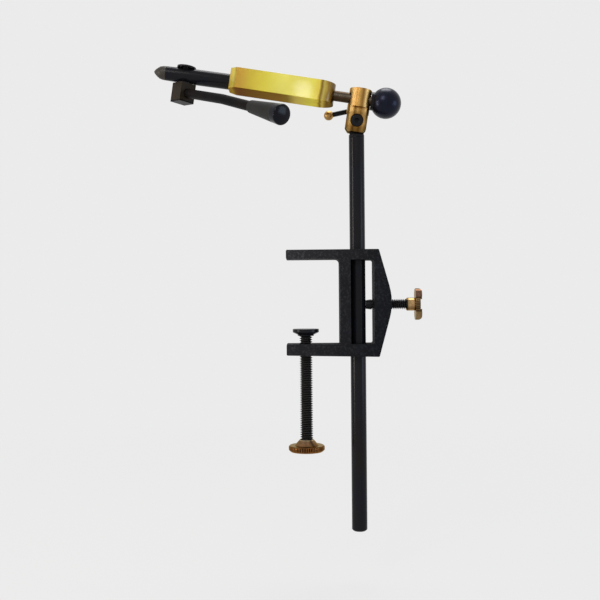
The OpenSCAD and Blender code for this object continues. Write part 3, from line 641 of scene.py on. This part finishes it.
def coated_frame(tones):
    """Steel in a fine textured powder coat: small soft grains and a satin gloss.

    It is painted darker towards the rear and the bottom, and darker in its corners, both painted shade. The specks
    are drawn as coarse as they need to be to show.
    """
    coat = new_material("powder_coat_textured")
    grains = noise(coat, size_mm=0.6, detail=3.0)
    clouds = noise(coat, size_mm=11.0, detail=4.0)
    dust = noise(coat, size_mm=1.1, detail=3.0)
    mix = add(
        coat, "ShaderNodeMix", data_type="RGBA",
        i0=spread(coat, dust, 0.0, 0.75, start=0.5, end=0.75),
        i6=ramp(coat, clouds, patchy(tones.frame_black, 0.92, 1.1, end=0.72)),
        i7=linear(tones.frame_speck),
    )
    surface(
        coat, Base_Color=mix.outputs[MIX_RESULT],
        Roughness=spread(coat, grains, 0.55, 0.75), Specular_IOR_Level=0.04,
    )
    relief(coat, grains, depth_mm=0.07)
    # Painted shade in the frame's corners and on the walls of its window
    in_hollows(coat, "#606066", size_mm=12.0)
    # Painted shade: the coat is painted darker towards the rear and the bottom
    rearward_and_down = axes_at((0, 0, 0), (1, 0, -0.3))
    return painted_bands(
        coat, *run_of("clamp_frame", rearward_and_down, X),
        [(0.0, BARE), (0.27, "#D4D4D6"), (0.55, "#B4B4B8"), (0.75, "#A4A6AC"),
         (1.0, "#888C96")],
    )


def phenolic_ball(tones):
    """Phenolic resin, moulded and tumbled: deep blue-black with a wet gloss."""
    resin = new_material("phenolic_polished")
    haze = noise(resin, size_mm=4.0, detail=4.0)
    surface(
        resin, Base_Color=ramp(resin, haze, patchy(tones.ball_black, 1, 1.5, end=0.8)),
        Roughness=spread(resin, haze, 0.24, 0.3), Specular_IOR_Level=0.22,
        Specular_Tint=(0.6, 0.65, 1.0, 1.0),
    )
    relief(resin, noise(resin, size_mm=0.8, detail=2.0), depth_mm=0.002)
    return resin


def moulded_grip(tones):
    """Moulded plastic grip: a fine spark texture, and a smooth, glossy domed end."""
    plastic = new_material("plastic_moulded_satin")
    spark = noise(plastic, size_mm=0.3, detail=2.0)
    worn = noise(plastic, size_mm=7.0, detail=3.0)
    way, _, end = run_of("lever_knob", GRIP, X)
    dome_start = end - GRIP_DOME
    dome = along(plastic, way, dome_start - GRIP_DOME_STEP, dome_start)
    mix = add(
        plastic, "ShaderNodeMix", data_type="RGBA", i0=dome,
        i6=ramp(plastic, worn, patchy(tones.grip_black, 0.88, 1.15, end=0.75)),
        i7=ramp(plastic, worn, patchy(tones.ball_black, 1, 1.3, end=0.75)),
    )
    sheen = add(
        plastic, "ShaderNodeMapRange", Value=dome,
        To_Min=spread(plastic, spark, 0.45, 0.6), To_Max=0.16,
    )
    surface(
        plastic, Base_Color=mix.outputs[MIX_RESULT], Roughness=sheen.outputs["Result"],
        Specular_IOR_Level=0.13,
    )
    relief(plastic, spark, depth_mm=0.012)
    return plastic


def milky_nylon(tones):
    """Natural nylon, turned: milky and slightly waxy."""
    nylon = new_material("nylon_natural")
    cloud = noise(nylon, size_mm=1.5, detail=2.0)
    surface(
        nylon, Base_Color=ramp(nylon, cloud, patchy(tones.nylon, 0.95, 1)),
        Roughness=spread(nylon, cloud, 0.35, 0.5), Subsurface_Weight=0.1,
        Subsurface_Scale=0.5 * MM,
    )
    relief(nylon, cloud, depth_mm=0.01)
    return nylon


# The record's slots first, then finishes that single pieces of a slot have instead
FINISH_MAKERS = {
    "bright_brass": buffed_brass,
    "warm_brass": turned_brass,
    "aged_brass": knurled_brass,
    "black_steel": black_rod,
    "jaw_steel": tempered_steel,
    "shaft_steel": ground_steel,
    "frame_black": coated_frame,
    "ball_black": phenolic_ball,
    "grip_black": moulded_grip,
    "nylon": milky_nylon,
    "cut_thread": cut_thread,
    "dull_rod": dull_rod,
    "handled_block": handled_block,
}
FINISH = {}


# Making of pieces

# Points closer than this are one point, with more room where a thread's turns meet
WELD = 2e-6
THREAD_WELD = 5 * WELD
# How near to a cut a point is taken as on it, by the cut and by the test after it
CUT_REACH = 1e-7
ON_CUT = 1e-6
# Angles between two faces: one face below the first, broken over the second, and
# shaded as an edge over the third
FLAT = math.radians(0.8)
STEEP = math.radians(40)
SHARP = math.radians(35)
# Shares of the pitch that a thread's flank and crest take, seen from the side
FLANK_SHARE, CREST_SHARE = 0.36, 0.1
# Radius of the clamp screw's plain nose, inside its pad
NOSE_R = 2.5 * MM
# Faces round a ball, and from its one pole to the other
BALL_SEGMENTS, BALL_RINGS = 72, 48


def finish_piece(shape, name, node, finish=None):
    """Closes a bmesh into an object that stands for a node and rides on its body.

    It has the finish of the node's slot, or another one that is named.
    """
    mesh = bpy.data.meshes.new(name)
    for edge in shape.edges:
        bent = len(edge.link_faces) == 2 and edge.calc_face_angle(0.0) > SHARP
        edge.smooth = not bent
    for face in shape.faces:
        face.smooth = True
    shape.to_mesh(mesh)
    shape.free()
    piece = bpy.data.objects.new(name, mesh)
    bpy.context.scene.collection.objects.link(piece)
    mesh.materials.append(FINISH[finish or SLOT_OF[node]])
    weights = piece.modifiers.new("face_weights", "WEIGHTED_NORMAL")
    weights.keep_sharp = True
    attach(piece, BODY_OF[node])
    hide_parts(node)


def merged_copy(node):
    """A node's mesh as a bmesh, with its loose triangles joined into whole faces."""
    shape = bmesh.new()
    shape.from_mesh(NODES[node].data)
    bmesh.ops.remove_doubles(shape, verts=shape.verts, dist=WELD)
    bmesh.ops.dissolve_limit(
        shape, angle_limit=FLAT, verts=shape.verts, edges=shape.edges,
        use_dissolve_boundaries=False, delimit=set(),
    )
    return shape


def machined(node, radius, finish=None):
    """A dressed copy of a node: the same solid with its steep edges broken."""
    shape = merged_copy(node)
    edges = [
        edge for edge in shape.edges
        if len(edge.link_faces) == 2 and edge.calc_face_angle(0.0) > STEEP
    ]
    bmesh.ops.bevel(
        shape, geom=edges, offset=radius, offset_type="OFFSET", segments=2,
        profile=0.5, affect="EDGES", clamp_overlap=True, material=-1,
    )
    finish_piece(shape, node + "_dressed", node, finish)


def chained(outline):
    """A bmesh with a chain of edges through (x, radius) points."""
    shape = bmesh.new()
    points = [shape.verts.new((x, 0.0, radius)) for x, radius in outline]
    for start, end in zip(points, points[1:]):
        shape.edges.new((start, end))
    return shape


def turned(outline, place, steps, rounding):
    """Spins an outline of (x, radius) points about the place's x axis.

    Its corners off the axis are rounded first.
    """
    shape = chained(outline)
    corners = [
        vertex for vertex in shape.verts
        if len(vertex.link_edges) == 2 and vertex.co.z > rounding
    ]
    bmesh.ops.bevel(
        shape, geom=corners, offset=rounding, offset_type="OFFSET", segments=3,
        profile=0.5, affect="VERTICES", clamp_overlap=True, material=-1,
    )
    bmesh.ops.spin(
        shape, geom=shape.verts[:] + shape.edges[:], cent=(0, 0, 0), axis=(1, 0, 0),
        dvec=(0, 0, 0), angle=math.tau, steps=steps, use_merge=True, use_duplicate=False,
    )
    bmesh.ops.remove_doubles(shape, verts=shape.verts, dist=WELD)
    bmesh.ops.recalc_face_normals(shape, faces=shape.faces)
    bmesh.ops.transform(shape, matrix=place, verts=shape.verts)
    return shape


def cut_across(shape, cut, side):
    """Cuts a shape square across x, takes away one side and closes the cut."""
    bmesh.ops.bisect_plane(
        shape, geom=shape.verts[:] + shape.edges[:] + shape.faces[:], dist=CUT_REACH,
        plane_co=(cut, 0, 0), plane_no=(side, 0, 0), clear_outer=True,
        clear_inner=False,
    )
    rim = [
        edge for edge in shape.edges
        if edge.is_boundary and all(abs(v.co.x - cut) < ON_CUT for v in edge.verts)
    ]
    bmesh.ops.contextual_create(shape, geom=rim)


def threaded(radius, depth, pitch, start, end, place, steps):
    """A rod along x with a helical thread, cut square at both ends.

    The depths in use are about a tenth of a millimetre over a real thread's, so that
    the teeth show from as far away as the photo was taken.
    """
    root, flank, flat = radius - depth, FLANK_SHARE * pitch, CREST_SHARE * pitch
    shape = chained([
        (0.0, root), (flank, radius), (flank + flat, radius), (2 * flank + flat, root),
        (pitch, root),
    ])
    turns = math.ceil((end - start) / pitch) + 2
    bmesh.ops.translate(shape, verts=shape.verts, vec=(start - pitch, 0, 0))
    bmesh.ops.spin(
        shape, geom=shape.verts[:] + shape.edges[:], cent=(0, 0, 0), axis=(1, 0, 0),
        dvec=(pitch / steps, 0, 0), angle=math.tau * turns, steps=steps * turns,
        use_merge=False, use_duplicate=False,
    )
    bmesh.ops.remove_doubles(shape, verts=shape.verts, dist=THREAD_WELD)
    cut_across(shape, start, -1)
    cut_across(shape, end, 1)
    bmesh.ops.recalc_face_normals(shape, faces=shape.faces)
    bmesh.ops.transform(shape, matrix=place, verts=shape.verts)
    return shape


def joined(*shapes):
    """Several closed bmeshes as one."""
    whole = bmesh.new()
    for shape in shapes:
        mesh = bpy.data.meshes.new("part")
        shape.to_mesh(mesh)
        shape.free()
        whole.from_mesh(mesh)
        bpy.data.meshes.remove(mesh)
    return whole


def ball(radius, place, centre, seat=None):
    """A sphere on the place's x axis, cut flat where it seats."""
    shape = bmesh.new()
    bmesh.ops.create_uvsphere(
        shape, u_segments=BALL_SEGMENTS, v_segments=BALL_RINGS, radius=radius,
        matrix=Matrix.Rotation(math.pi / 2, 4, "Y"),
    )
    bmesh.ops.translate(shape, verts=shape.verts, vec=(centre, 0, 0))
    if seat is not None:
        cut_across(shape, seat, -1)
        bmesh.ops.recalc_face_normals(shape, faces=shape.faces)
    bmesh.ops.transform(shape, matrix=place, verts=shape.verts)
    return shape


# Operators of the pieces

class VISE_OT_finishes(bpy.types.Operator):
    """Makes the finishes and gives every node of the frame its own"""

    bl_idname = "vise.finishes"
    bl_label = "Finishes"

    def execute(self, context):
        tones = context.scene.vise_colours
        FINISH.update({name: make(tones) for name, make in FINISH_MAKERS.items()})
        for name, node in NODES.items():
            node.data.materials.clear()
            node.data.materials.append(FINISH[SLOT_OF[name]])
        return {"FINISHED"}


class VISE_OT_frame(bpy.types.Operator):
    """Clamp frame with rounded edges"""

    bl_idname = "vise.frame"
    bl_label = "Clamp frame"

    def execute(self, context):
        machined("clamp_frame", context.scene.vise_sizes.frame_edge)
        return {"FINISHED"}


class VISE_OT_clamp_screw(bpy.types.Operator):
    """Clamp screw with its helical thread, its pad and its knurled knob"""

    bl_idname = "vise.clamp_screw"
    bl_label = "Clamp screw"

    def execute(self, context):
        sizes = context.scene.vise_sizes
        machined("clamp_pad", sizes.steel_edge)
        machined("knob_grub_screw", sizes.screw_edge)
        machined("clamp_knob", sizes.screw_edge)
        low, high = reach("clamp_screw", SCREW)
        pad_low = reach("clamp_pad", SCREW)[0].x
        rod = threaded(
            high.y, sizes.screw_depth, sizes.screw_pitch, low.x,
            pad_low - sizes.running_gap, SCREW, sizes.thread_steps,
        )
        root = pad_low - sizes.screw_pitch
        nose = turned(
            [(root, 0), (root, NOSE_R), (high.x, NOSE_R), (high.x, 0)], SCREW,
            sizes.round_steps, sizes.steel_edge,
        )
        whole = joined(rod, nose)
        finish_piece(whole, "clamp_screw_thread", "clamp_screw", "cut_thread")
        return {"FINISHED"}


class VISE_OT_lock_screw(bpy.types.Operator):
    """Screw that locks the post, with its winged knob"""

    bl_idname = "vise.lock_screw"
    bl_label = "Lock screw"

    def execute(self, context):
        sizes = context.scene.vise_sizes
        machined("lock_tip", sizes.screw_edge)
        machined("lock_knob", sizes.wing_edge)
        low, high = reach("lock_stud", LOCK)
        rod = threaded(
            high.y, sizes.lock_depth, sizes.lock_pitch, low.x, high.x, LOCK,
            sizes.thread_steps,
        )
        finish_piece(rod, "lock_stud_thread", "lock_stud", "cut_thread")
        return {"FINISHED"}


class VISE_OT_post(bpy.types.Operator):
    """Post with its tang"""

    bl_idname = "vise.post"
    bl_label = "Post"

    def execute(self, context):
        sizes = context.scene.vise_sizes
        machined("post", sizes.steel_edge)
        machined("post_tang", sizes.steel_edge)
        return {"FINISHED"}


class VISE_OT_head(bpy.types.Operator):
    """Brass head with its pivot bolt and tension lever"""

    bl_idname = "vise.head"
    bl_label = "Head"

    def execute(self, context):
        sizes = context.scene.vise_sizes
        machined("head_block", sizes.head_edge)
        machined("pivot_bolt", sizes.screw_edge)
        machined("tension_screw", sizes.steel_edge)
        low, high = reach("tension_ball", TENSION)
        shape = ball((high.y - low.y) / 2, TENSION, (low.x + high.x) / 2)
        finish_piece(shape, "tension_ball_turned", "tension_ball")
        machined("tension_lever", sizes.screw_edge)
        return {"FINISHED"}


class VISE_OT_body(bpy.types.Operator):
    """Brass body with the rotary shaft, its collar and the ball knob"""

    bl_idname = "vise.body"
    bl_label = "Jaw body"

    def execute(self, context):
        sizes = context.scene.vise_sizes
        machined("jaw_body", sizes.brass_edge)
        machined("rotary_shaft", sizes.steel_edge)
        machined("thrust_collar", sizes.steel_edge)
        low, high = reach("ball_knob", ROTOR)
        radius = (high.y - low.y) / 2
        shape = ball(radius, ROTOR, high.x - radius, low.x)
        finish_piece(shape, "ball_knob_moulded", "ball_knob")
        return {"FINISHED"}


class VISE_OT_tube(bpy.types.Operator):
    """Jaw tube with its jaws and the cam"""

    bl_idname = "vise.tube"
    bl_label = "Jaw tube"

    def execute(self, context):
        sizes = context.scene.vise_sizes
        machined("jaw_tube", sizes.steel_edge)
        machined("cam_block", sizes.block_edge, "handled_block")
        machined("cam_spindle", sizes.steel_edge)
        machined("jaw_near", sizes.screw_edge)
        machined("jaw_far", sizes.screw_edge)
        return {"FINISHED"}


class VISE_OT_lever(bpy.types.Operator):
    """Cam lever with its moulded grip"""

    bl_idname = "vise.lever"
    bl_label = "Cam lever"

    def execute(self, context):
        sizes = context.scene.vise_sizes
        machined("lever_rod", sizes.steel_edge, "dull_rod")
        machined("lever_knob", sizes.grip_edge)
        return {"FINISHED"}


# Stage

# The floor lies this far below the vise, and reaches this far from its middle
FLOOR_DROP = 31 * MM
FLOOR_REACH = 6.0
# The floor takes this share of its brightness from its own glow under the vise, and all
# of it from where the shadow ends
SHADOW_SHARE = 0.86
SHADOW_START, SHADOW_END = 0.15, 0.7
PAPER_GREY = [0.8, 0.8, 0.8, 1.0]
WHITE = [1.0, 1.0, 1.0, 1.0]
ROOM_LIGHT = 0.5
# Each soft lamp's name, place, width and height, power in watts and tint
LAMPS = (
    ("key", (-0.55, -1.1, 0.8), (0.5, 0.5), 7.0, (1.0, 0.98, 0.95)),
    ("window", (0.96, -0.42, -0.1), (0.5, 0.6), 3.6, (0.62, 0.78, 1.0)),
    ("strip", (-0.94, -0.34, 0.05), (0.2, 0.5), 3.6, (1.0, 0.93, 0.86)),
    ("top", (0.1, 0.3, 1.1), (0.6, 0.6), 6.0, (1.0, 1.0, 1.0)),
    ("flash", (0.006, -1.0, 0.33), (0.028, 0.06), 0.05, (1.0, 1.0, 1.0)),
)
LAMP_AIM = Vector((0, 0, 0.03))
# The camera's sensor, in Blender's own millimetres, and the nearest and farthest it sees
SENSOR_WIDTH = 36.0
NEAREST, FARTHEST = 0.01, 20.0


def backdrop_rays(owner):
    """1 for the rays that see the plain backdrop: straight, mirrored or through glass."""
    rays = add(owner, "ShaderNodeLightPath")
    seen = add(
        owner, "ShaderNodeMath", operation="MAXIMUM", i0=rays.outputs["Is Camera Ray"],
        i1=rays.outputs["Is Glossy Ray"],
    )
    return add(
        owner, "ShaderNodeMath", operation="MAXIMUM", i0=seen.outputs[0],
        i1=rays.outputs["Is Transmission Ray"],
    ).outputs[0]


def floor_paper(backdrop):
    """Seamless paper: it shows the plain backdrop's tone, and the vise's faint shadow."""
    paper = cleared(bpy.data.materials.new("floor_paper"))
    place = add(paper, "ShaderNodeTexCoord").outputs["Object"]
    flat = add(
        paper, "ShaderNodeVectorMath", operation="MULTIPLY", i0=place, i1=[1.0, 1.0, 0.0],
    )
    away = add(
        paper, "ShaderNodeVectorMath", operation="LENGTH", i0=flat.outputs["Vector"],
    )
    glow_share = spread(
        paper, away.outputs["Value"], SHADOW_SHARE, 1.0, SHADOW_START, SHADOW_END,
    )
    share = add(
        paper, "ShaderNodeMath", operation="MULTIPLY", i0=backdrop_rays(paper),
        i1=glow_share,
    )
    plain = add(paper, "ShaderNodeBsdfDiffuse", Color=PAPER_GREY)
    glow = add(paper, "ShaderNodeEmission", Color=backdrop, Strength=1.0)
    mix = add(
        paper, "ShaderNodeMixShader", Fac=share.outputs[0], i1=plain.outputs[0],
        i2=glow.outputs[0],
    )
    add(paper, "ShaderNodeOutputMaterial", Surface=mix.outputs[0])
    return paper


def lay_floor(backdrop):
    """Lays the floor below the vise."""
    height = CAD_BOX[0][2] - FLOOR_DROP
    shape = bmesh.new()
    bmesh.ops.create_grid(
        shape, x_segments=1, y_segments=1, size=FLOOR_REACH,
        matrix=Matrix.Translation((0, 0, height)),
    )
    mesh = bpy.data.meshes.new("floor")
    shape.to_mesh(mesh)
    shape.free()
    mesh.materials.append(floor_paper(backdrop))
    floor = bpy.data.objects.new("floor", mesh)
    bpy.context.scene.collection.objects.link(floor)


def light_room(backdrop):
    """Lights the vise from all round by a white room that shows as the backdrop."""
    world = cleared(bpy.data.worlds.new("studio"))
    bpy.context.scene.world = world
    light = add(world, "ShaderNodeBackground", Color=WHITE, Strength=ROOM_LIGHT)
    seen = add(world, "ShaderNodeBackground", Color=backdrop, Strength=1.0)
    mix = add(
        world, "ShaderNodeMixShader", Fac=backdrop_rays(world), i1=light.outputs[0],
        i2=seen.outputs[0],
    )
    add(world, "ShaderNodeOutputWorld", Surface=mix.outputs[0])


def hang_lamps():
    """Hangs the soft lamps, each turned to the vise."""
    for name, place, size, power, tint in LAMPS:
        lamp = bpy.data.lights.new(name, "AREA")
        lamp.shape = "RECTANGLE"
        lamp.size, lamp.size_y = size
        lamp.energy = power
        lamp.color = tint
        holder = bpy.data.objects.new(name, lamp)
        holder.location = place
        aim = LAMP_AIM - Vector(place)
        holder.rotation_euler = aim.to_track_quat("-Z", "Y").to_euler()
        bpy.context.scene.collection.objects.link(holder)


def set_camera(stage):
    """Sets the camera level in front of the vise, with the photo's roll."""
    data = bpy.data.cameras.new("camera")
    data.sensor_width = SENSOR_WIDTH
    data.lens = SENSOR_WIDTH * stage.focal_pixels / PHOTO_WIDTH
    data.clip_start, data.clip_end = NEAREST, FARTHEST
    camera = bpy.data.objects.new("camera", data)
    cosine, sine = math.cos(stage.camera_roll), math.sin(stage.camera_roll)
    right, up, back = (cosine, 0, sine), (-sine, 0, cosine), (0, -1, 0)
    turn = Matrix((right, up, back)).transposed().to_4x4()
    spot = (stage.camera_x, -stage.camera_distance, stage.camera_z)
    camera.matrix_world = Matrix.Translation(spot) @ turn
    bpy.context.scene.collection.objects.link(camera)
    bpy.context.scene.camera = camera


class VISE_OT_stage(bpy.types.Operator):
    """Floor, world, lamps and the camera at the photo's viewing angle"""

    bl_idname = "vise.stage"
    bl_label = "Stage"

    def execute(self, context):
        stage = context.scene.vise_stage
        backdrop = linear(stage.backdrop)
        lay_floor(backdrop)
        light_room(backdrop)
        hang_lamps()
        set_camera(stage)
        context.scene.view_settings.view_transform = "Standard"
        return {"FINISHED"}


STEPS = (
    VISE_OT_finishes, VISE_OT_frame, VISE_OT_clamp_screw, VISE_OT_lock_screw,
    VISE_OT_post, VISE_OT_head, VISE_OT_body, VISE_OT_tube, VISE_OT_lever,
    VISE_OT_stage,
)


class VISE_PT_panel(bpy.types.Panel):
    """Lists the vise's operators in the sidebar"""

    bl_label = "Fly Tying Vise"
    bl_space_type = "VIEW_3D"
    bl_region_type = "UI"
    bl_category = "Vise"

    def draw(self, context):
        for step in STEPS:
            self.layout.operator(step.bl_idname)


GROUPS = {"vise_sizes": ViseSizes, "vise_colours": ViseColours, "vise_stage": ViseStage}
CLASSES = (*GROUPS.values(), *STEPS, VISE_PT_panel)


def register():
    for each in CLASSES:
        bpy.utils.register_class(each)
    for name, group in GROUPS.items():
        setattr(bpy.types.Scene, name, bpy.props.PointerProperty(type=group))


def unregister():
    for name in GROUPS:
        delattr(bpy.types.Scene, name)
    for each in reversed(CLASSES):
        bpy.utils.unregister_class(each)


def main():
    register()
    for step in STEPS:
        module, call = step.bl_idname.split(".")
        getattr(getattr(bpy.ops, module), call)()


if __name__ == "__main__":
    main()
